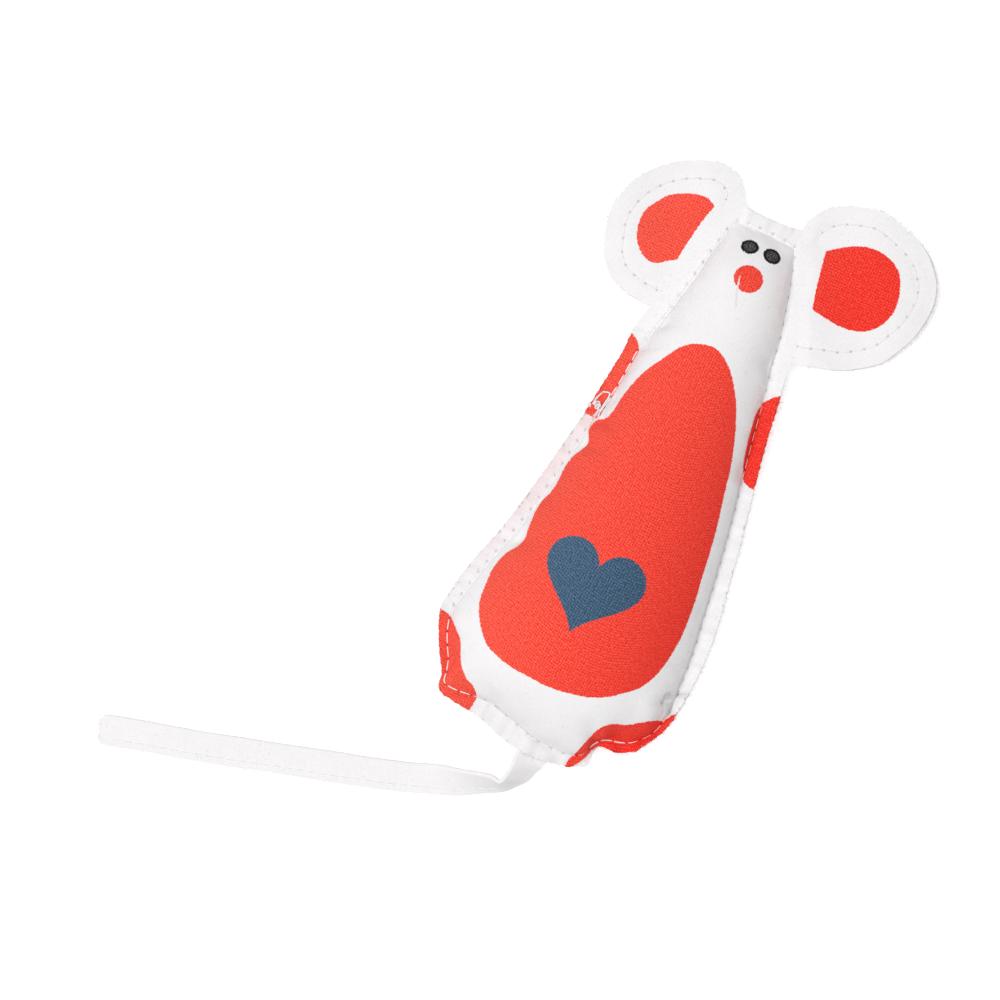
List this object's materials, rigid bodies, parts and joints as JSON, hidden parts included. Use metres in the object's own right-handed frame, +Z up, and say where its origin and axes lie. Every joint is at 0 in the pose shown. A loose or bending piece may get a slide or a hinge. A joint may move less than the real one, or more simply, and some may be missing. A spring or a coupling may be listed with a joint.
{
  "type": "cat toy",
  "caption": "Stuffed canvas mouse on its back, with flat folding ears, raw-edged seams and a long strip tail.",
  "frame": {"origin": "centre of the flat that the back rests on, under the middle of the belly", "axes": "+Z up out of the belly, +Y from the hem to the face, +X to the right seen from above"},
  "size_m": [0.1581, 0.2172, 0.0312],
  "materials": {
    "printed_canvas": "matt cotton canvas, printed red, black and dark blue",
    "plain_canvas": "matt cotton canvas",
    "fibre": "loose polyester fibre",
    "catnip": "dried leaf",
    "thread": "matt spun thread"
  },
  "bodies": {
    "torso": {"front_panel": "printed_canvas", "back_panel": "printed_canvas", "front_filling": "fibre", "back_filling": "fibre", "head_filling": "fibre", "catnip_filling": "catnip", "body_top_thread": "thread", "body_bobbin_thread": "thread", "crown_top_thread": "thread", "crown_bobbin_thread": "thread", "closing_thread": "thread", "tail_tab": "plain_canvas"},
    "left_ear": {"left_ear_front": "printed_canvas", "left_ear_back": "plain_canvas", "left_ear_top_thread": "thread", "left_ear_bobbin_thread": "thread"},
    "right_ear": {"right_ear_front": "printed_canvas", "right_ear_back": "plain_canvas", "right_ear_top_thread": "thread", "right_ear_bobbin_thread": "thread"},
    "tail_base": {"tail_root": "plain_canvas"},
    "tail": {"tail_strip": "plain_canvas", "tail_thread": "thread"}
  },
  "joints": [
    {"name": "left_ear_fold", "type": "hinge", "parent": "torso", "child": "left_ear", "pos_m": [-0.01405, 0.07819, 0.00885], "axis": [0.3134, 0.9491, -0.0318], "range_deg": [-40, 85], "stiffness_Nm_per_rad": 0.008},
    {"name": "right_ear_fold", "type": "hinge", "parent": "torso", "child": "right_ear", "pos_m": [0.01491, 0.07987, 0.0088], "axis": [0.3395, -0.9401, 0.0315], "range_deg": [-40, 85], "stiffness_Nm_per_rad": 0.008},
    {"name": "tail_lift", "type": "hinge", "parent": "torso", "child": "tail_base", "pos_m": [0.0018, -0.0696, 0.0138], "axis": [-1, 0, 0], "range_deg": [-40, 90]},
    {"name": "tail_swing", "type": "hinge", "parent": "tail_base", "child": "tail", "pos_m": [-0.0026, -0.07741, 0.00937], "axis": [-0.1115, -0.0378, 0.993], "range_deg": [-20, 110]}
  ]
}
